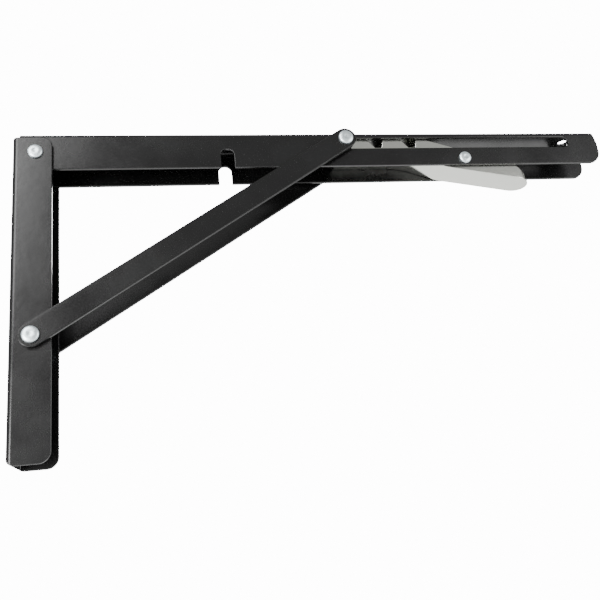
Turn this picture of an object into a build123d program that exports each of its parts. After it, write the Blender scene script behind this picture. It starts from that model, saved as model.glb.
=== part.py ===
from build123d import *
import math
import os

# Folding shelf bracket, drawn open with its shelf face level.
# Frame: X = 0 is the wall plane, Z = 0 the shelf plane, Y = 0 the middle of the bracket; +X leads away
# from the wall and +Z is up. Lengths are millimetres and angles are degrees.

# Sheet, and the room between nested channels
SHEET = 1.6
BAR_SHEET = 2.0
LEVER_SHEET = 1.4
BEND_INSIDE = 0.8
SIDE_GAP = 0.3
PIN_GAP = 0.05
HEAD_GAP = 0.15

# Shelf arm
ARM_WIDTH = 18.6
ARM_DEPTH = 19.0
ARM_END = 300.0
ARM_TOP_SLANT = 1.5
ARM_SLANT_DROP = 7.0
ARM_NOSE_RADIUS = 7.0

# Wall leg
LEG_DEPTH = 17.6
LEG_TOP = -3.0
LEG_FOOT = -153.0
LEG_FRONT_RADIUS = 5.0
LEG_BACK_RADIUS = 3.5
LEG_SHOULDER_RADIUS = 1.0

# Pivots, as (x, z)
FOLD_PIVOT = (10.1, -10.8)
FOOT_PIVOT = (9.6, -99.6)
SLIDE_PIN = (158.4, -5.5)
LEVER_PIVOT = (221.9, -15.3)

# Strut bars
BAR_HALF_WIDTH = 5.4
BAR_EDGE_BREAK = 0.3

# Rivets
PIVOT_SHANK_R = 2.4
FOOT_SHANK_R = 2.1
PIN_R = 2.2
LEVER_SHANK_R = 2.0
PIVOT_HEAD_R = 3.4
STRUT_HEAD_R = 3.7
LEVER_HEAD_R = 3.2
HEAD_HEIGHT = 1.7
HEAD_RIM_SHARE = 0.35
HEAD_SLOPE = 1.2
SPACER_R = 4.5

# Slot that the pin runs in, and the notch that drops over the foot rivet
SLOT_HEIGHT = 6.0
SLOT_TOP_GAP = 0.1
SLOT_START_GAP = 0.5
SLOT_END_SPARE = 6.0
NOTCH_SIDE_GAP = 1.15
NOTCH_TOP_GAP = 0.3

# Release lever, a channel that is open at the top
TOOTH_TOP = -3.1
TOOTH_DEPTH = 4.7
TOOTH_PITCH = 18.0
TOOTH_COUNT = 3
TOOTH_LAND = 10.5
TOOTH_LEAN = 3.9
LAST_LAND = 5.3
TOOTH_GAP = 0.1
TOOTH_RAKE = 0.75
LEVER_HEEL_OVERLAP = 5.7
RAIL_BOTTOM = -12.2
RAIL_END = 191.0
HANDLE_KNEE = (212.0, -19.5)
HANDLE_TOE = (259.6, -27.9)
HANDLE_TIP = 258.2
HANDLE_TOP_END = (250.0, -18.3)
HANDLE_KNEE_RADIUS = 30.0
HANDLE_NOSE_RADIUS = 3.6

# Lever spring
WIRE_R = 0.45
WIRE_SIDES = 5
SPRING_TURNS = 4
SPRING_PITCH = 1.15
SPRING_BORE_GAP = 0.25
SPRING_LONG_LEG = 10.0
SPRING_SHORT_LEG = 5.0
SPRING_LEG_ANGLE = -17.0

# Screw holes
SCREW_R = 2.75
SHELF_SCREWS_X = (46.0, 126.0, 286.0)
WALL_SCREWS_Z = (-30.0, -66.0, -138.0)

# Worked out from the sizes above
ARM_HALF = ARM_WIDTH / 2
LEG_HALF = ARM_HALF + SIDE_GAP + SHEET
BAR_INSIDE = LEG_HALF + SIDE_GAP
BAR_OUTSIDE = BAR_INSIDE + BAR_SHEET
LEVER_HALF = ARM_HALF - SHEET - SIDE_GAP
ARM_START_RADIUS = ARM_DEPTH + FOLD_PIVOT[1] - 0.7
ARM_START = FOLD_PIVOT[0] - ARM_START_RADIUS
STRUT_LENGTH = math.dist(FOOT_PIVOT, SLIDE_PIN)
STRUT_ANGLE = math.degrees(math.atan2(SLIDE_PIN[1] - FOOT_PIVOT[1], SLIDE_PIN[0] - FOOT_PIVOT[0]))

# Where the foot rivet and the pin lie along the arm once it hangs down
FOLDED_FOOT_X = FOLD_PIVOT[0] + FOLD_PIVOT[1] - FOOT_PIVOT[1]
FOLDED_FOOT_Z = FOLD_PIVOT[1] + FOOT_PIVOT[0] - FOLD_PIVOT[0]
FOLDED_PIN_X = FOLDED_FOOT_X + math.sqrt(STRUT_LENGTH**2 - (SLIDE_PIN[1] - FOLDED_FOOT_Z) ** 2)

SLOT_TOP = SLIDE_PIN[1] + PIN_R + SLOT_TOP_GAP
SLOT_START = SLIDE_PIN[0] - PIN_R - SLOT_START_GAP
SLOT_END = FOLDED_PIN_X + PIN_R + SLOT_END_SPARE


def side_plate(outline, width):
    """A side view, drawn as a sketch of (x, z), made a solid of this width about Y = 0."""
    return extrude(Plane.XZ * outline, amount=width / 2, both=True)


def side_disc(centre, radius, width):
    """A round bar or hole across the bracket at a pivot."""
    return side_plate(Pos(centre[0], centre[1]) * Circle(radius), width)


def corner_round(outline, point, radius):
    """The outline with its corner nearest this point rounded."""
    corner = outline.vertices().sort_by_distance((point[0], point[1], 0))[0]
    return fillet(corner, radius)


def channel_section(half_width, depth, wall):
    """A folded channel's section, open downwards, with its web's outer face on the X axis."""
    outer_round = BEND_INSIDE + wall
    outer = Pos(0, -depth / 2) * Rectangle(2 * half_width, depth)
    outer = fillet(outer.vertices().group_by(Axis.Y)[-1], outer_round)
    hollow = Pos(0, -wall - depth / 2) * Rectangle(2 * (half_width - wall), depth)
    hollow = fillet(hollow.vertices().group_by(Axis.Y)[-1], BEND_INSIDE)
    return outer - hollow


def screw_hole_down(x):
    """A screw hole through the shelf face."""
    return Pos(x, 0, 0) * Cylinder(SCREW_R, 4 * SHEET)


def screw_hole_back(z):
    """A screw hole through the wall face."""
    return Pos(0, 0, z) * Rot(0, 90, 0) * Cylinder(SCREW_R, 4 * SHEET)


def shelf_arm():
    """The long channel under the shelf: slots for the pin, a notch for the foot rivet, screw holes."""
    section = Plane.YZ * channel_section(ARM_HALF, ARM_DEPTH, SHEET)
    body = Pos(ARM_START, 0, 0) * extrude(section, amount=ARM_END - ARM_START)
    outline = make_face(
        Polyline(
            (ARM_START, 0),
            (ARM_END - ARM_TOP_SLANT, 0),
            (ARM_END, -ARM_SLANT_DROP),
            (ARM_END, -ARM_DEPTH),
            (ARM_START, -ARM_DEPTH),
            close=True,
        )
    )
    outline = corner_round(outline, (ARM_END, -ARM_DEPTH), ARM_NOSE_RADIUS)
    outline = corner_round(outline, (ARM_START, -ARM_DEPTH), ARM_START_RADIUS)
    arm = body & side_plate(outline, 2 * ARM_WIDTH)

    slot_middle = ((SLOT_START + SLOT_END) / 2, SLOT_TOP - SLOT_HEIGHT / 2)
    slot = Pos(*slot_middle) * SlotOverall(SLOT_END - SLOT_START, SLOT_HEIGHT)
    arm -= side_plate(slot, 2 * ARM_WIDTH)

    notch_r = FOOT_SHANK_R + NOTCH_SIDE_GAP
    notch_top = FOLDED_FOOT_Z + FOOT_SHANK_R + NOTCH_TOP_GAP
    notch_centre = (FOLDED_FOOT_X, notch_top - notch_r)
    mouth_depth = ARM_DEPTH + notch_centre[1]
    mouth = Pos(notch_centre[0], notch_centre[1] - mouth_depth / 2) * Rectangle(2 * notch_r, mouth_depth)
    arm -= side_plate(mouth, 2 * ARM_WIDTH)
    arm -= side_disc(notch_centre, notch_r, 2 * ARM_WIDTH)

    arm -= side_disc(FOLD_PIVOT, PIVOT_SHANK_R + PIN_GAP, 2 * ARM_WIDTH)
    arm -= side_disc(LEVER_PIVOT, LEVER_SHANK_R + PIN_GAP, 2 * ARM_WIDTH)
    for x in SHELF_SCREWS_X:
        arm -= screw_hole_down(x)
    return arm


def wall_leg():
    """The short channel on the wall, open towards the room, which the arm folds into."""
    section = Plane.XY * Rot(0, 0, 90) * channel_section(LEG_HALF, LEG_DEPTH, SHEET)
    body = Pos(0, 0, LEG_TOP) * extrude(section, amount=LEG_FOOT - LEG_TOP)
    outline = Pos(LEG_DEPTH / 2, (LEG_TOP + LEG_FOOT) / 2) * Rectangle(LEG_DEPTH, LEG_TOP - LEG_FOOT)
    outline = corner_round(outline, (LEG_DEPTH, LEG_TOP), LEG_FRONT_RADIUS)
    outline = corner_round(outline, (LEG_DEPTH, LEG_FOOT), LEG_FRONT_RADIUS)
    outline = corner_round(outline, (0, LEG_FOOT), LEG_BACK_RADIUS)
    outline = corner_round(outline, (0, LEG_TOP), LEG_SHOULDER_RADIUS)
    leg = body & side_plate(outline, 4 * LEG_HALF)
    leg -= side_disc(FOLD_PIVOT, PIVOT_SHANK_R + PIN_GAP, 4 * LEG_HALF)
    leg -= side_disc(FOOT_PIVOT, FOOT_SHANK_R + PIN_GAP, 4 * LEG_HALF)
    for z in WALL_SCREWS_Z:
        leg -= screw_hole_back(z)
    return leg


def strut_bar(side):
    """One flat bar of the strut, beside the leg and the arm; side is -1 or +1."""
    blank = SlotCenterToCenter(STRUT_LENGTH, 2 * BAR_HALF_WIDTH)
    blank = Pos(*FOOT_PIVOT) * Rot(0, 0, STRUT_ANGLE) * Pos(STRUT_LENGTH / 2, 0) * blank
    bar = extrude(Plane.XZ * blank, amount=BAR_SHEET / 2, both=True)
    bar = chamfer(bar.faces().group_by(Axis.Y)[-1].edges(), BAR_EDGE_BREAK)
    bar = chamfer(bar.faces().group_by(Axis.Y)[0].edges(), BAR_EDGE_BREAK)
    bar -= side_disc(FOOT_PIVOT, FOOT_SHANK_R + PIN_GAP, 2 * BAR_SHEET)
    bar -= side_disc(SLIDE_PIN, PIN_R + PIN_GAP, 2 * BAR_SHEET)
    return Pos(0, side * (BAR_INSIDE + BAR_OUTSIDE) / 2, 0) * bar


def rivet_head(centre, radius, seat, side):
    """A low coned head that stands on a side face at this distance from the middle."""
    rim = HEAD_HEIGHT * HEAD_RIM_SHARE
    outline = [(0, 0), (radius, 0), (radius, rim), (radius - HEAD_SLOPE, HEAD_HEIGHT), (0, HEAD_HEIGHT)]
    head = revolve(Plane.XZ * make_face(Polyline(*outline, close=True)), Axis.Z)
    outward = Rot(-90, 0, 0) if side > 0 else Rot(90, 0, 0)
    return Pos(centre[0], side * seat, centre[1]) * outward * head


def headed_rivet(centre, shank_radius, head_radius, seat):
    """A rivet across the bracket, with a head each side."""
    rivet = side_disc(centre, shank_radius, 2 * seat)
    for side in (-1, 1):
        rivet += rivet_head(centre, head_radius, seat, side)
    return rivet


def slide_pin_head(side):
    """A head of the sliding pin with its end in the strut bar's hole."""
    neck = side_disc(SLIDE_PIN, PIN_R, BAR_SHEET)
    neck = Pos(0, side * (BAR_INSIDE + BAR_OUTSIDE) / 2, 0) * neck
    return neck + rivet_head(SLIDE_PIN, STRUT_HEAD_R, BAR_OUTSIDE, side)


def slide_pin_shank(side):
    """The stretch of the sliding pin that runs in one side's slot."""
    inside = ARM_HALF - SHEET
    outside = BAR_INSIDE - HEAD_GAP
    shank = side_disc(SLIDE_PIN, PIN_R, outside - inside)
    return Pos(0, side * (inside + outside) / 2, 0) * shank


def pin_spacer(side):
    """A washer on the sliding pin, between the arm and the strut bar."""
    inside = ARM_HALF + HEAD_GAP
    outside = BAR_INSIDE - HEAD_GAP
    washer = side_disc(SLIDE_PIN, SPACER_R, outside - inside)
    washer -= side_disc(SLIDE_PIN, PIN_R + PIN_GAP, 2 * SPACER_R)
    return Pos(0, side * (inside + outside) / 2, 0) * washer


def lever_outline():
    """The release lever's side view: a ratchet rail, a hump over the pivot and a thumb handle."""
    first_wall = SLIDE_PIN[0] + PIN_R + TOOTH_GAP
    root = TOOTH_TOP - TOOTH_DEPTH
    points = [(first_wall - LEVER_HEEL_OVERLAP, root)]
    for n in range(TOOTH_COUNT):
        wall = first_wall + n * TOOTH_PITCH
        land = LAST_LAND if n == TOOTH_COUNT - 1 else TOOTH_LAND
        points += [(wall, root), (wall + TOOTH_RAKE, TOOTH_TOP), (wall + land, TOOTH_TOP)]
        if n < TOOTH_COUNT - 1:
            points.append((wall + land + TOOTH_LEAN, root))
    points += [HANDLE_TOP_END, HANDLE_TOE, HANDLE_KNEE, (RAIL_END, RAIL_BOTTOM)]
    points.append((points[0][0], RAIL_BOTTOM))
    outline = make_face(Polyline(*points, close=True))
    outline = corner_round(outline, HANDLE_TOP_END, HANDLE_NOSE_RADIUS)
    outline = corner_round(outline, HANDLE_KNEE, HANDLE_KNEE_RADIUS)
    return corner_round(outline, (RAIL_END, RAIL_BOTTOM), HANDLE_KNEE_RADIUS)


def release_lever():
    """The sprung lever: a channel with toothed walls that hold the pin, and a round-ended tongue."""
    outline = lever_outline()
    hollow = side_plate(Pos(0, LEVER_SHEET) * outline, 2 * (LEVER_HALF - LEVER_SHEET))
    lever = side_plate(outline, 2 * LEVER_HALF) - hollow
    lever -= side_disc(LEVER_PIVOT, LEVER_SHANK_R + PIN_GAP, 4 * LEVER_HALF)
    tongue_length = HANDLE_TIP - LEVER_HALF
    plan = SlotCenterToCenter(tongue_length, 2 * LEVER_HALF)
    return lever & extrude(Pos(tongue_length / 2, 0) * plan, amount=2 * HANDLE_TOE[1], both=True)


def lever_spring():
    """A torsion spring wound round the lever's rivet; its long leg lies over the handle's floor."""
    coil_r = LEVER_SHANK_R + SPRING_BORE_GAP + WIRE_R
    length = SPRING_TURNS * SPRING_PITCH
    helix = Helix(SPRING_PITCH, length, coil_r)
    back = Plane(origin=helix @ 0, z_dir=-(helix % 0))
    front = Plane(origin=helix @ 1, z_dir=helix % 1)
    wire = RegularPolygon(WIRE_R, WIRE_SIDES)
    coil = sweep(Plane(origin=helix @ 0, z_dir=helix % 0) * wire, path=helix, is_frenet=True)
    coil += extrude(back * wire, amount=SPRING_SHORT_LEG)
    coil += extrude(front * wire, amount=SPRING_LONG_LEG)
    centred = Pos(0, 0, -length / 2) * coil
    turned = Rot(90, 0, 0) * Rot(0, 0, SPRING_LEG_ANGLE - 90) * centred
    return Pos(LEVER_PIVOT[0], 0, LEVER_PIVOT[1]) * turned


SIDES = {"left": -1, "right": 1}
PARTS = {
    "shelf_arm": shelf_arm(),
    "wall_leg": wall_leg(),
    "fold_pivot_rivet": headed_rivet(FOLD_PIVOT, PIVOT_SHANK_R, PIVOT_HEAD_R, LEG_HALF),
    "strut_foot_rivet": headed_rivet(FOOT_PIVOT, FOOT_SHANK_R, STRUT_HEAD_R, BAR_OUTSIDE + HEAD_GAP),
    "lever_rivet": headed_rivet(LEVER_PIVOT, LEVER_SHANK_R, LEVER_HEAD_R, ARM_HALF),
    "release_lever": release_lever(),
    "lever_spring": lever_spring(),
}
for side_name, side_sign in SIDES.items():
    PARTS[f"strut_bar_{side_name}"] = strut_bar(side_sign)
    PARTS[f"slide_pin_head_{side_name}"] = slide_pin_head(side_sign)
    PARTS[f"slide_pin_shank_{side_name}"] = slide_pin_shank(side_sign)
    PARTS[f"pin_spacer_{side_name}"] = pin_spacer(side_sign)

os.makedirs("parts", exist_ok=True)
for node, shape in PARTS.items():
    export_step(shape, f"parts/{node}.step")
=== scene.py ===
"""A folding shelf bracket of pressed steel: its painted sheets, its rivets and its sprung lever."""

import math

import bmesh
import bpy
import numpy as np
from mathutils import Matrix, Vector


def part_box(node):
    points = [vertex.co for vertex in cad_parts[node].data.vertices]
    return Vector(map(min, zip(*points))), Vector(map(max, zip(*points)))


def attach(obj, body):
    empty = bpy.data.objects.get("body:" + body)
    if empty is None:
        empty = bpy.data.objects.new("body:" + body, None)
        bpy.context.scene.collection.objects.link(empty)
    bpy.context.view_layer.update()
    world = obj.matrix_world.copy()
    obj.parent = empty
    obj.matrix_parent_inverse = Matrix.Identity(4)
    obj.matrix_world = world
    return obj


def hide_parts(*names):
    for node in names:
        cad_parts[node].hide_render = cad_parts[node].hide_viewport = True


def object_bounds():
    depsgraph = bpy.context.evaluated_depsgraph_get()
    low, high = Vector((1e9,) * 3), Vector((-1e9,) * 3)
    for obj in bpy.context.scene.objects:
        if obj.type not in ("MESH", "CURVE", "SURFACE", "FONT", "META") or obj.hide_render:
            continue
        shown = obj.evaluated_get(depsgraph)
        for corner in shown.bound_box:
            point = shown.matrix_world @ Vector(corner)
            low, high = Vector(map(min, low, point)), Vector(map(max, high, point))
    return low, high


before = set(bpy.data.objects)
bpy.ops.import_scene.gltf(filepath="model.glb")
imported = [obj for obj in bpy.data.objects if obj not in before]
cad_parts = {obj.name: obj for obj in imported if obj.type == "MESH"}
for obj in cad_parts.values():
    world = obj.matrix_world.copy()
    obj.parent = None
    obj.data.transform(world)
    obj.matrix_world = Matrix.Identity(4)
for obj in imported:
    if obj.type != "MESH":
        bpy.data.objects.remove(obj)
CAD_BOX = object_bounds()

bl_info = {
    "name": "Folding shelf bracket",
    "version": (1, 0, 0),
    "blender": (4, 5, 0),
    "location": "3D View > Sidebar > Bracket",
    "description": "Finishes the sheets, rivets, lever and spring of a folding shelf bracket",
    "category": "Object",
}

MM = 0.001
TURN = 2 * math.pi

# The painted sheets and the body that carries each, and the nodes that only get a finish
PAINTED = {
    "shelf_arm": "arm",
    "wall_leg": "leg",
    "strut_bar_left": "strut",
    "strut_bar_right": "strut",
}
SHANKS = ("slide_pin_shank_left", "slide_pin_shank_right")
SPACERS = ("pin_spacer_left", "pin_spacer_right")

# Each rivet: the node it stands for, the body that carries it, and its head's radius in mm
RIVETS = (
    ("fold_pivot_rivet", "leg", 3.4),
    ("strut_foot_rivet", "leg", 3.7),
    ("lever_rivet", "arm", 3.2),
)

# The sliding pin's heads, and the side of the bracket that each is on
PIN_HEADS = {"slide_pin_head_left": -1, "slide_pin_head_right": 1}

# A turned head: its steps, the powers that round its crown, and its parts as shares or in mm
LATHE_SIDES = 48
CROWN_STEPS = 15
CROWN_ACROSS = 0.75
CROWN_RISE = 0.8
RIM_SHARE = 0.3
DIMPLE_SHARE = 0.3
LIP = 0.12
LIP_SHARE = 0.4
LIP_FOOT_SHARE = 0.3
SHANK_SHARE = 0.62
NECK_RADIUS = 2.2
NECK_CHAMFER = 0.2

# The wound spring, in mm and degrees; its bore is the rivet's shank and the room round it
SPRING_BORE_RADIUS = 2.25
SPRING_TURNS = 4
SPRING_STEPS_PER_TURN = 32
SPRING_LEG_ANGLE = -17.0
SPRING_LONG_LEG = 10.0
SPRING_LONG_STEPS = 12
SPRING_SHORT_LEG = 5.0
SPRING_SHORT_STEPS = 8
SPRING_LEG_START = 0.3
WIRE_SIDES = 16

# How near two corners of a CAD sheet are one, and the angles that count as flat and as sharp
MERGE_DISTANCE = 1e-6
FLAT_ANGLE = math.radians(0.5)
SHARP_ANGLE = math.radians(50)
EDGE_SEGMENTS = 2
LARGE_FACE_WEIGHT = 100

# Distances between marks in the finishes, in metres
HAZE_SIZE = 1 / 45
PATCH_SIZE = 1 / 170
MOULD_GRAIN_SIZE = 0.0004
CLOUD_SIZE = 1 / 3

# The nylon washers' tone, and the tone of their grain
NYLON = ("#101112", "#1e1f20")

# How many rays find each rounded edge
EDGE_RAYS = 6

# Bright zinc: rivets plated in a barrel, which rubs their shine soft
RIVET_ZINC = {
    "stain": "#dae6ea",
    "grain_size": 0.0004,
    "roughness": (0.34, 0.44),
    "edge_round": 0.0001,
}

# Zinc over rolled strip: smooth enough to mirror what stands next to it
STRIP_ZINC = {
    "stain": "#d2d6cd",
    "grain_size": 0.0006,
    "roughness": (0.12, 0.2),
    "edge_round": 0.0003,
}

# Spring steel drawn through a die: darker, with a dull shine
DRAWN_STEEL = {
    "stain": "#75787a",
    "grain_size": 0.0003,
    "roughness": (0.25, 0.4),
    "edge_round": 0.0001,
}

# Camera: where it stands, and the directions that are to its right, up and ahead
CAMERA_PLACE = (0.0657, -0.3103, -0.1911)
CAMERA_RIGHT = (0.98095, -0.16211, -0.10709)
CAMERA_UP = (0.04836, -0.33011, 0.9427)
CAMERA_AHEAD = (0.18817, 0.92992, 0.31598)
CAMERA_LENS = 42.16

# Half the width of the floor board, in metres, and its darker tone
FLOOR_HALF = 1.2
FLOOR_SHADE = "#f4f4f4"

# Lamps turned to the bracket: name, place, size, and power as a share of the key lamp's
LAMPS = (
    ("key_lamp", (-0.5, -0.9, 0.6), 0.7, 1.0),
    ("side_lamp", (0.9, -0.7, 0.0), 0.6, 0.5),
    ("front_lamp", (-0.55, -0.75, -0.2), 0.4, 1.1),
)

# The lamp that lights the floor behind the bracket, and where it points
FLOOR_LAMP_PLACE = (0.35, 0.9, 0.5)
FLOOR_LAMP_AIM = (0.34, 0.55)
FLOOR_LAMP_SIZE = 0.5


# ---------------------------------------------------------------- numbers and colours


def linear(hex_colour):
    """A colour written as sRGB hex, as linear red, green, blue and 1."""
    parts = [int(hex_colour[i : i + 2], 16) / 255 for i in (1, 3, 5)]
    lit = [c / 12.92 if c <= 0.04045 else ((c + 0.055) / 1.055) ** 2.4 for c in parts]
    return (*lit, 1.0)


def centre_of(node):
    """The middle of a CAD node's box, in metres."""
    low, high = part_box(node)
    return (low + high) / 2


# ---------------------------------------------------------------- materials


def add(tree, kind, inputs=None, settings=None):
    """Add one node; inputs are sockets with a value or an output to link, settings its own fields."""
    node = tree.nodes.new(kind)
    for field, value in (settings or {}).items():
        setattr(node, field, value)
    for name, value in (inputs or {}).items():
        if isinstance(value, bpy.types.NodeSocket):
            tree.links.new(value, node.inputs[name])
        else:
            node.inputs[name].default_value = value
    return node


def new_material(name):
    """An empty node material and its tree."""
    material = bpy.data.materials.new(name)
    material.use_nodes = True
    material.node_tree.nodes.clear()
    return material, material.node_tree


def close_material(tree, shader, flat_colour, material):
    """Link the shader to the surface and give the viewport the same colour."""
    add(tree, "ShaderNodeOutputMaterial", {"Surface": shader.outputs["BSDF"]})
    material.diffuse_color = flat_colour


def blend_colours(tree, share, first, second):
    """A ramp from the first colour to the second as the share goes from 0 to 1."""
    ramp = add(tree, "ShaderNodeValToRGB", {"Fac": share})
    ramp.color_ramp.elements[0].color = first
    ramp.color_ramp.elements[1].color = second
    return ramp.outputs["Color"]


def spread(tree, noise, limits):
    """The middle of a noise's range, stretched between two limits."""
    low, high = limits
    stretch = {"Value": noise, "From Min": 0.3, "From Max": 0.7, "To Min": low, "To Max": high}
    return add(tree, "ShaderNodeMapRange", stretch).outputs["Result"]


def enamel_material(look):
    """Stoving enamel, sprayed on pressed steel and baked: deep black gloss, faintly orange-peeled."""
    material, tree = new_material("black_stoving_enamel")
    place = add(tree, "ShaderNodeTexCoord").outputs["Object"]
    # Orange peel waves of the sprayed coat.
    peel_waves = {"Vector": place, "Scale": 1 / look.peel_size, "Detail": 1.0}
    peel = add(tree, "ShaderNodeTexNoise", peel_waves)
    # Thin places and handling haze, some 22 mm across, vary the gloss.
    haze = add(tree, "ShaderNodeTexNoise", {"Vector": place, "Scale": 1 / HAZE_SIZE, "Detail": 3.0})
    rough = spread(tree, haze.outputs["Fac"], (0.2, 0.3))
    # The coat rounds a sheared edge, and the rounded edge is painted a little paler: a painted
    # highlight along cut edges.
    soft = add(tree, "ShaderNodeBevel", {"Radius": look.edge_round}, {"samples": EDGE_RAYS})
    facing = add(tree, "ShaderNodeNewGeometry").outputs["Normal"]
    bend = add(
        tree,
        "ShaderNodeVectorMath",
        {0: soft.outputs["Normal"], 1: facing},
        {"operation": "DOT_PRODUCT"},
    )
    # How far into the rounded edge a point lies: the mask of the painted highlight
    edge = add(
        tree,
        "ShaderNodeMapRange",
        {"Value": bend.outputs["Value"], "From Min": 0.995, "From Max": 0.86},
    )
    # The enamel's own black, and the paler colour of the painted highlight along cut edges
    tones = linear(look.enamel), linear(look.enamel_edge_highlight)
    colour = blend_colours(tree, edge.outputs["Result"], *tones)
    bump = add(
        tree,
        "ShaderNodeBump",
        {
            "Strength": 0.05,
            "Distance": 0.0004,
            "Height": peel.outputs["Fac"],
            "Normal": soft.outputs["Normal"],
        },
    )
    shader = add(
        tree,
        "ShaderNodeBsdfPrincipled",
        {
            "Base Color": colour,
            "Roughness": rough,
            "IOR": 1.5,
            "Specular IOR Level": 0.5,
            "Normal": bump.outputs["Normal"],
        },
    )
    close_material(tree, shader, linear(look.enamel), material)
    return material


def metal_material(name, tone, stain, grain_size, roughness, edge_round):
    """Bright metal, plated or drawn: its grain and faint patches of tone break up the shine."""
    material, tree = new_material(name)
    place = add(tree, "ShaderNodeTexCoord").outputs["Object"]
    # Patches of tint, some 6 mm across.
    patch = add(
        tree,
        "ShaderNodeTexNoise",
        {"Vector": place, "Scale": 1 / PATCH_SIZE, "Detail": 4.0, "Roughness": 0.6},
    )
    colour = blend_colours(tree, patch.outputs["Fac"], linear(tone), linear(stain))
    # The grain is as coarse as it needs to be to show.
    grain = add(tree, "ShaderNodeTexNoise", {"Vector": place, "Scale": 1 / grain_size, "Detail": 2.0})
    soft = add(tree, "ShaderNodeBevel", {"Radius": edge_round}, {"samples": EDGE_RAYS})
    bump = add(
        tree,
        "ShaderNodeBump",
        {
            "Strength": 0.12,
            "Distance": 0.0001,
            "Height": grain.outputs["Fac"],
            "Normal": soft.outputs["Normal"],
        },
    )
    shader = add(
        tree,
        "ShaderNodeBsdfPrincipled",
        {
            "Base Color": colour,
            "Metallic": 1.0,
            "Roughness": spread(tree, grain.outputs["Fac"], roughness),
            "Normal": bump.outputs["Normal"],
        },
    )
    close_material(tree, shader, linear(tone), material)
    return material


def nylon_material(tone, grain_tone):
    """Moulded black nylon: a matte skin, faintly grained by its mould."""
    material, tree = new_material("moulded_black_nylon")
    place = add(tree, "ShaderNodeTexCoord").outputs["Object"]
    # The mould's spark-eroded grain.
    pits = {"Vector": place, "Scale": 1 / MOULD_GRAIN_SIZE, "Detail": 2.0}
    grain = add(tree, "ShaderNodeTexNoise", pits).outputs["Fac"]
    colour = blend_colours(tree, grain, linear(tone), linear(grain_tone))
    bump = add(tree, "ShaderNodeBump", {"Strength": 0.1, "Distance": 0.0001, "Height": grain})
    shader = add(
        tree,
        "ShaderNodeBsdfPrincipled",
        {"Base Color": colour, "Roughness": 0.55, "IOR": 1.53, "Normal": bump.outputs["Normal"]},
    )
    close_material(tree, shader, linear(tone), material)
    return material


def floor_material(tone, shade):
    """Matte studio board: pale, even, with a trace of tone."""
    material, tree = new_material("matte_studio_board")
    place = add(tree, "ShaderNodeTexCoord").outputs["Object"]
    cloud = add(tree, "ShaderNodeTexNoise", {"Vector": place, "Scale": 1 / CLOUD_SIZE})
    colour = blend_colours(tree, cloud.outputs["Fac"], linear(tone), linear(shade))
    shader = add(
        tree,
        "ShaderNodeBsdfPrincipled",
        {"Base Color": colour, "Roughness": 0.9, "Specular IOR Level": 0.1},
    )
    close_material(tree, shader, linear(tone), material)
    return material


def finish_node(name, material):
    """Give a CAD node this material in every slot it has."""
    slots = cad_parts[name].data.materials
    for index in range(len(slots)):
        slots[index] = material
    if not len(slots):
        slots.append(material)


# ---------------------------------------------------------------- meshes


def grid_mesh(name, points, material, start_pole, end_pole):
    """A closed surface from rows of points that each go round once, with a pole at either end."""
    rows, columns = points.shape[:2]
    corners = np.concatenate([points.reshape(-1, 3), [start_pole], [end_pole]])
    row, column = np.meshgrid(np.arange(rows - 1), np.arange(columns), indexing="ij")
    after = (column + 1) % columns
    here, ahead = row * columns, (row + 1) * columns
    quads = np.stack([here + column, here + after, ahead + after, ahead + column], axis=-1)
    ring = np.arange(columns)
    follow = (ring + 1) % columns
    last = (rows - 1) * columns
    start_fan = np.stack([np.full(columns, rows * columns), follow, ring], axis=-1)
    end_fan = np.stack([np.full(columns, rows * columns + 1), last + ring, last + follow], axis=-1)
    mesh = bpy.data.meshes.new(name)
    faces = quads.reshape(-1, 4).tolist() + start_fan.tolist() + end_fan.tolist()
    mesh.from_pydata((corners * MM).tolist(), [], faces)
    mesh.update()
    mesh.shade_smooth()
    mesh.materials.append(material)
    piece = bpy.data.objects.new(name, mesh)
    bpy.context.scene.collection.objects.link(piece)
    return piece


def lathe(name, centre, profile, material):
    """A turned solid: point(t, u) = centre + (r cos u, y, r sin u), with r and y the profile at t."""
    profile = np.asarray(profile, float)
    radius, along = profile[1:-1, 0], profile[1:-1, 1]
    turn = np.linspace(0, TURN, LATHE_SIDES, endpoint=False)
    x = centre[0] + radius[:, None] * np.cos(turn)
    z = centre[2] + radius[:, None] * np.sin(turn)
    y = centre[1] + np.broadcast_to(along[:, None], x.shape)
    start = (centre[0], centre[1] + profile[0, 1], centre[2])
    end = (centre[0], centre[1] + profile[-1, 1], centre[2])
    return grid_mesh(name, np.stack([x, y, z], axis=-1), material, start, end)


def head_profile(radius, seat, height, dimple):
    """A pressed head, crown to seat: a quarter superellipse less a bell-shaped dimple in its middle."""
    t = np.linspace(0, math.pi / 2, CROWN_STEPS)
    r = radius * np.sin(t) ** CROWN_ACROSS
    rise = height * (RIM_SHARE + (1 - RIM_SHARE) * np.cos(t) ** CROWN_RISE)
    rise -= dimple * np.exp(-((r / (DIMPLE_SHARE * radius)) ** 2))
    crown = np.stack([r, seat + rise], axis=-1)
    crown[0, 0] = 0
    bend = (radius - LIP_SHARE * LIP, seat + LIP_FOOT_SHARE * LIP)
    foot = [(radius, seat + LIP), bend, (radius - LIP, seat)]
    return np.concatenate([crown, foot])


def tube(name, path, radius, material):
    """A round wire: point(t, u) = path + radius (side cos u + lift sin u), square to the path."""
    ahead = np.gradient(path, axis=0)
    ahead /= np.linalg.norm(ahead, axis=1, keepdims=True)
    side = np.cross(ahead, (0.0, 1.0, 0.0))
    side /= np.linalg.norm(side, axis=1, keepdims=True)
    lift = np.cross(ahead, side)
    turn = np.linspace(0, TURN, WIRE_SIDES, endpoint=False)[None, :, None]
    ring = side[:, None, :] * np.cos(turn) + lift[:, None, :] * np.sin(turn)
    return grid_mesh(name, path[:, None, :] + radius * ring, material, path[0], path[-1])


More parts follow.
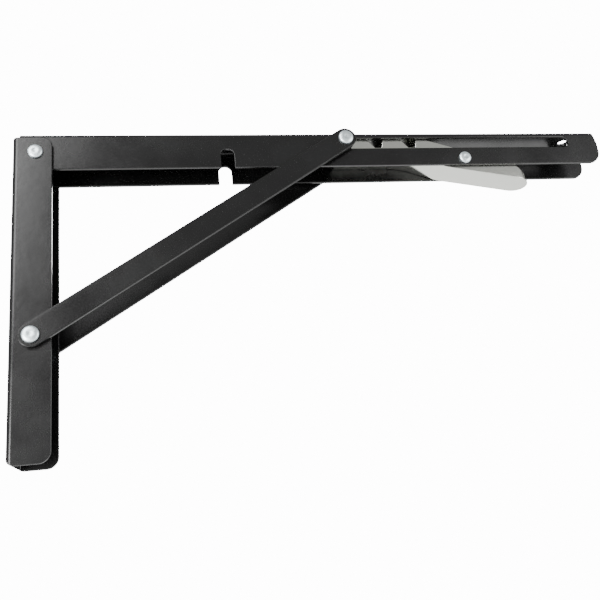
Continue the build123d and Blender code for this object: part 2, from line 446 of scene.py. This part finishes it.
def dressed_copy(node, material, edge_round):
    """A copy of a CAD sheet as one skin: its flat faces made whole, its cut edges rolled over."""
    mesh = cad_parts[node].data.copy()
    mesh.materials.clear()
    if "custom_normal" in mesh.attributes:
        mesh.attributes.remove(mesh.attributes["custom_normal"])
    skin = bmesh.new()
    skin.from_mesh(mesh)
    bmesh.ops.remove_doubles(skin, verts=skin.verts, dist=MERGE_DISTANCE)
    bmesh.ops.dissolve_limit(skin, angle_limit=FLAT_ANGLE, verts=skin.verts, edges=skin.edges)
    for face in skin.faces:
        face.smooth = True
        face.material_index = 0
    skin.to_mesh(mesh)
    skin.free()
    mesh.materials.append(material)
    piece = bpy.data.objects.new(node + "_dressed", mesh)
    bpy.context.scene.collection.objects.link(piece)
    bevel = piece.modifiers.new("rolled_edges", "BEVEL")
    bevel.width = edge_round
    bevel.segments = EDGE_SEGMENTS
    bevel.limit_method = "ANGLE"
    bevel.angle_limit = SHARP_ANGLE
    bevel.use_clamp_overlap = False
    flat = piece.modifiers.new("flat_faces", "WEIGHTED_NORMAL")
    flat.mode = "FACE_AREA"
    flat.weight = LARGE_FACE_WEIGHT
    flat.keep_sharp = True
    return piece


def outward(piece):
    """Turn the piece's faces outwards where its closed surface encloses a negative volume."""
    mesh = piece.data
    co = np.zeros(len(mesh.vertices) * 3)
    mesh.vertices.foreach_get("co", co)
    mesh.calc_loop_triangles()
    tri = np.zeros(len(mesh.loop_triangles) * 3, int)
    mesh.loop_triangles.foreach_get("vertices", tri)
    a, b, c = co.reshape(-1, 3)[tri.reshape(-1, 3)].transpose(1, 0, 2)
    if np.einsum("ij,ij->i", a, np.cross(b, c)).sum() < 0:
        mesh.flip_normals()
    return piece


def settle(piece, node, body):
    """The piece stands in for this CAD node, which is hidden, and rides on its body."""
    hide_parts(node)
    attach(piece, body)


def through_rivet(node, head_radius, height, dimple, material):
    """A rivet across the bracket: a head, the shank, and the same head the other way."""
    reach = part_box(node)[1].y / MM
    head = head_profile(head_radius, reach - height, height, dimple)
    shank_radius = head_radius * SHANK_SHARE
    shank = [(shank_radius, reach - height), (shank_radius, height - reach)]
    profile = np.concatenate([head, shank, head[::-1] * (1, -1)])
    return outward(lathe(node + "_turned", centre_of(node) / MM, profile, material))


def pin_head(node, side, height, dimple, material):
    """A head of the sliding pin, and the neck that fills the strut bar's hole."""
    low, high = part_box(node)
    near, far = sorted((abs(low.y) / MM, abs(high.y) / MM))
    middle = centre_of(node) / MM
    middle.y = 0
    head = head_profile((high.x - low.x) / MM / 2, far - height, height, dimple)
    neck = [(NECK_RADIUS, far - height), (NECK_RADIUS, near + NECK_CHAMFER)]
    neck += [(NECK_RADIUS - NECK_CHAMFER, near), (0, near)]
    profile = np.concatenate([head, neck]) * (1, side)
    return outward(lathe(node + "_turned", middle, profile, material))


def spring_centreline(wire_radius):
    """A helix, pivot + (R cos a, p a, R sin a), with a straight leg carried on from each end."""
    low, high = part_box("lever_spring")
    pivot = centre_of("lever_rivet") / MM
    length = (high.y - low.y) / MM - 2 * wire_radius
    radius = SPRING_BORE_RADIUS + wire_radius
    angle = np.linspace(0, SPRING_TURNS * TURN, SPRING_TURNS * SPRING_STEPS_PER_TURN + 1)
    along = length * angle / angle[-1] - length / 2
    coil = np.stack([radius * np.cos(angle), radius * np.sin(angle), along], axis=-1)
    start_way = coil[0] - coil[1]
    end_way = coil[-1] - coil[-2]
    start_way /= np.linalg.norm(start_way)
    end_way /= np.linalg.norm(end_way)
    short_run = np.linspace(SPRING_SHORT_LEG, SPRING_LEG_START, SPRING_SHORT_STEPS)
    long_run = np.linspace(SPRING_LEG_START, SPRING_LONG_LEG, SPRING_LONG_STEPS)
    first = coil[0] + start_way * short_run[:, None]
    last = coil[-1] + end_way * long_run[:, None]
    turned = np.asarray(Matrix.Rotation(math.radians(SPRING_LEG_ANGLE - 90), 3, "Z"))
    stood = np.asarray(Matrix.Rotation(math.pi / 2, 3, "X"))
    line = np.concatenate([first, coil, last]) @ turned.T @ stood.T
    return line + (pivot[0], 0.0, pivot[2])


# ---------------------------------------------------------------- floor, light and camera


def place_camera(scene):
    """Stand the camera below the bracket, in front and to its left, looking up at it."""
    data = bpy.data.cameras.new("bracket_camera")
    data.lens = CAMERA_LENS
    camera = bpy.data.objects.new("bracket_camera", data)
    back = -Vector(CAMERA_AHEAD)
    turn = Matrix((CAMERA_RIGHT, CAMERA_UP, back)).transposed().to_4x4()
    camera.matrix_world = Matrix.Translation(CAMERA_PLACE) @ turn
    scene.collection.objects.link(camera)
    scene.camera = camera


def lay_floor(stage):
    """A wide pale board below the bracket."""
    low = CAD_BOX[0].z - stage.floor_drop
    around = ((-1, -1), (1, -1), (1, 1), (-1, 1))
    corners = [(x * FLOOR_HALF, y * FLOOR_HALF, low) for x, y in around]
    mesh = bpy.data.meshes.new("studio_floor")
    mesh.from_pydata(corners, [], [(0, 1, 2, 3)])
    mesh.materials.append(floor_material(stage.floor_tone, FLOOR_SHADE))
    floor = bpy.data.objects.new("studio_floor", mesh)
    bpy.context.scene.collection.objects.link(floor)


def hang_lamp(name, place, target, size, power):
    """A square soft lamp at this place, turned to the target."""
    data = bpy.data.lights.new(name, "AREA")
    data.shape = "SQUARE"
    data.size = size
    data.energy = power
    lamp = bpy.data.objects.new(name, data)
    aim = Vector(target) - Vector(place)
    turn = aim.to_track_quat("-Z", "Y").to_matrix().to_4x4()
    lamp.matrix_world = Matrix.Translation(place) @ turn
    bpy.context.scene.collection.objects.link(lamp)


def light_room(scene, stage):
    """A white room, bright to the camera and dimmer to the bracket, with soft lamps in it."""
    world = bpy.data.worlds.new("white_room")
    world.use_nodes = True
    scene.world = world
    tree = world.node_tree
    tree.nodes.clear()
    seen = add(tree, "ShaderNodeLightPath").outputs["Is Camera Ray"]
    strength = add(
        tree,
        "ShaderNodeMapRange",
        {"Value": seen, "To Min": stage.surround, "To Max": stage.backdrop},
    )
    room = add(
        tree,
        "ShaderNodeBackground",
        {"Color": linear("#ffffff"), "Strength": strength.outputs["Result"]},
    )
    add(tree, "ShaderNodeOutputWorld", {"Surface": room.outputs["Background"]})
    middle = tuple((CAD_BOX[0] + CAD_BOX[1]) / 2)
    for name, place, size, share in LAMPS:
        hang_lamp(name, place, middle, size, stage.key_power * share)
    floor_spot = (*FLOOR_LAMP_AIM, CAD_BOX[0].z - stage.floor_drop)
    hang_lamp("floor_lamp", FLOOR_LAMP_PLACE, floor_spot, FLOOR_LAMP_SIZE, stage.key_power)


# ---------------------------------------------------------------- what a user may change


class BracketSheets(bpy.types.PropertyGroup):
    """Colours and edge sizes of the painted sheets."""

    enamel: bpy.props.StringProperty(
        name="Enamel", description="Colour of the enamel, as sRGB hex", default="#080808"
    )
    # Colour of the painted highlight along cut edges, blended in where an edge is rounded
    enamel_edge_highlight: bpy.props.StringProperty(
        name="Enamel at edges",
        description="Colour of the thin coat at cut edges, as sRGB hex",
        default="#2a2a2c",
    )
    edge_round: bpy.props.FloatProperty(
        name="Edge round",
        description="Radius that the coat gives a cut edge",
        default=0.0003,
        min=0.0,
        max=0.001,
        precision=5,
        subtype="DISTANCE",
        unit="LENGTH",
    )
    peel_size: bpy.props.FloatProperty(
        name="Orange peel",
        description="Distance between waves in the sprayed coat",
        default=0.0025,
        min=0.0005,
        max=0.01,
        precision=5,
        subtype="DISTANCE",
        unit="LENGTH",
    )


class BracketMetal(bpy.types.PropertyGroup):
    """Colours of the rivets, the lever and the spring, and the shape of a rivet head."""

    rivet: bpy.props.StringProperty(
        name="Rivet",
        description="Colour of the rivets' bright zinc, as sRGB hex",
        default="#e6eef0",
    )
    lever: bpy.props.StringProperty(
        name="Lever", description="Colour of the lever's zinc, as sRGB hex", default="#dcdcd6"
    )
    spring: bpy.props.StringProperty(
        name="Spring", description="Colour of the spring wire, as sRGB hex", default="#8f9294"
    )
    head_height: bpy.props.FloatProperty(
        name="Head height",
        description="How far a rivet head stands off its sheet",
        default=0.0017,
        min=0.0005,
        max=0.0017,
        precision=5,
        subtype="DISTANCE",
        unit="LENGTH",
    )
    dimple: bpy.props.FloatProperty(
        name="Dimple",
        description="Depth of the pressed mark in the middle of a head",
        default=0.0003,
        min=0.0,
        max=0.0008,
        precision=5,
        subtype="DISTANCE",
        unit="LENGTH",
    )
    lever_edge: bpy.props.FloatProperty(
        name="Lever edge",
        description="Radius of the lever's tumbled edges",
        default=0.00025,
        min=0.0,
        max=0.0006,
        precision=5,
        subtype="DISTANCE",
        unit="LENGTH",
    )
    wire_radius: bpy.props.FloatProperty(
        name="Wire radius",
        description="Radius of the spring's wire",
        default=0.00045,
        min=0.0002,
        max=0.0006,
        precision=5,
        subtype="DISTANCE",
        unit="LENGTH",
    )


class BracketStage(bpy.types.PropertyGroup):
    """The floor and the light."""

    floor_tone: bpy.props.StringProperty(
        name="Floor", description="Colour of the floor, as sRGB hex", default="#fafafa"
    )
    floor_drop: bpy.props.FloatProperty(
        name="Floor drop",
        description="How far the floor lies below the leg's foot",
        default=0.25,
        min=0.0,
        max=2.0,
        subtype="DISTANCE",
        unit="LENGTH",
    )
    key_power: bpy.props.FloatProperty(
        name="Key light",
        description="Power of the lamp that the others follow",
        default=13.0,
        min=0.0,
        unit="POWER",
    )
    surround: bpy.props.FloatProperty(
        name="Surround",
        description="Brightness of the room as it lights the bracket",
        default=0.5,
        min=0.0,
        max=2.0,
    )
    backdrop: bpy.props.FloatProperty(
        name="Backdrop",
        description="Brightness of the room as the camera sees it",
        default=14.0,
        min=0.0,
        max=20.0,
    )


# ---------------------------------------------------------------- operators


class BRACKET_OT_sheets(bpy.types.Operator):
    """Paint the shelf arm, the wall leg and the strut bars"""

    bl_idname = "bracket.sheets"
    bl_label = "Painted sheets"

    def execute(self, context):
        look = context.scene.bracket_sheets
        enamel = enamel_material(look)
        for node, body in PAINTED.items():
            settle(dressed_copy(node, enamel, look.edge_round), node, body)
        return {"FINISHED"}


class BRACKET_OT_rivets(bpy.types.Operator):
    """Make the headed rivets and the heads of the sliding pin"""

    bl_idname = "bracket.rivets"
    bl_label = "Rivets and pin"

    def execute(self, context):
        metal = context.scene.bracket_metal
        zinc = metal_material("bright_zinc_plate", metal.rivet, **RIVET_ZINC)
        height, dimple = metal.head_height / MM, metal.dimple / MM
        for node, body, head_radius in RIVETS:
            piece = through_rivet(node, head_radius, height, dimple, zinc)
            settle(piece, node, body)
        for node, side in PIN_HEADS.items():
            settle(pin_head(node, side, height, dimple, zinc), node, "strut")
        for node in SHANKS:
            finish_node(node, zinc)
        nylon = nylon_material(*NYLON)
        for node in SPACERS:
            finish_node(node, nylon)
        return {"FINISHED"}


class BRACKET_OT_lever(bpy.types.Operator):
    """Finish the release lever and wind its spring"""

    bl_idname = "bracket.lever"
    bl_label = "Lever and spring"

    def execute(self, context):
        metal = context.scene.bracket_metal
        zinc = metal_material("zinc_plated_strip", metal.lever, **STRIP_ZINC)
        lever = dressed_copy("release_lever", zinc, metal.lever_edge)
        settle(lever, "release_lever", "lever")
        steel = metal_material("drawn_spring_steel", metal.spring, **DRAWN_STEEL)
        wire_radius = metal.wire_radius / MM
        spring = tube("torsion_spring", spring_centreline(wire_radius), wire_radius, steel)
        settle(outward(spring), "lever_spring", "lever")
        return {"FINISHED"}


class BRACKET_OT_stage(bpy.types.Operator):
    """Lay the floor, hang the lamps and place the camera"""

    bl_idname = "bracket.stage"
    bl_label = "Floor, light and camera"

    def execute(self, context):
        stage = context.scene.bracket_stage
        place_camera(context.scene)
        lay_floor(stage)
        light_room(context.scene, stage)
        return {"FINISHED"}


class BRACKET_PT_panel(bpy.types.Panel):
    """The bracket's finishes in the sidebar"""

    bl_idname = "BRACKET_PT_panel"
    bl_label = "Folding bracket"
    bl_space_type = "VIEW_3D"
    bl_region_type = "UI"
    bl_category = "Bracket"

    def draw(self, context):
        scene = context.scene
        for operator, group in STEPS:
            box = self.layout.box()
            box.operator(operator.bl_idname)
            settings = getattr(scene, group)
            for field in settings.bl_rna.properties:
                if field.identifier not in ("name", "rna_type"):
                    box.prop(settings, field.identifier)


STEPS = (
    (BRACKET_OT_sheets, "bracket_sheets"),
    (BRACKET_OT_rivets, "bracket_metal"),
    (BRACKET_OT_lever, "bracket_metal"),
    (BRACKET_OT_stage, "bracket_stage"),
)
GROUPS = {
    "bracket_sheets": BracketSheets,
    "bracket_metal": BracketMetal,
    "bracket_stage": BracketStage,
}


def register():
    """Register the settings, the operators and the panel."""
    for name, group in GROUPS.items():
        bpy.utils.register_class(group)
        setattr(bpy.types.Scene, name, bpy.props.PointerProperty(type=group))
    for operator, _ in STEPS:
        bpy.utils.register_class(operator)
    bpy.utils.register_class(BRACKET_PT_panel)


def unregister():
    """Take them all away again."""
    bpy.utils.unregister_class(BRACKET_PT_panel)
    for operator, _ in STEPS:
        bpy.utils.unregister_class(operator)
    for name, group in GROUPS.items():
        delattr(bpy.types.Scene, name)
        bpy.utils.unregister_class(group)


def main():
    register()
    bpy.ops.bracket.sheets()
    bpy.ops.bracket.rivets()
    bpy.ops.bracket.lever()
    bpy.ops.bracket.stage()
    bpy.context.view_layer.update()


if __name__ == "__main__":
    main()
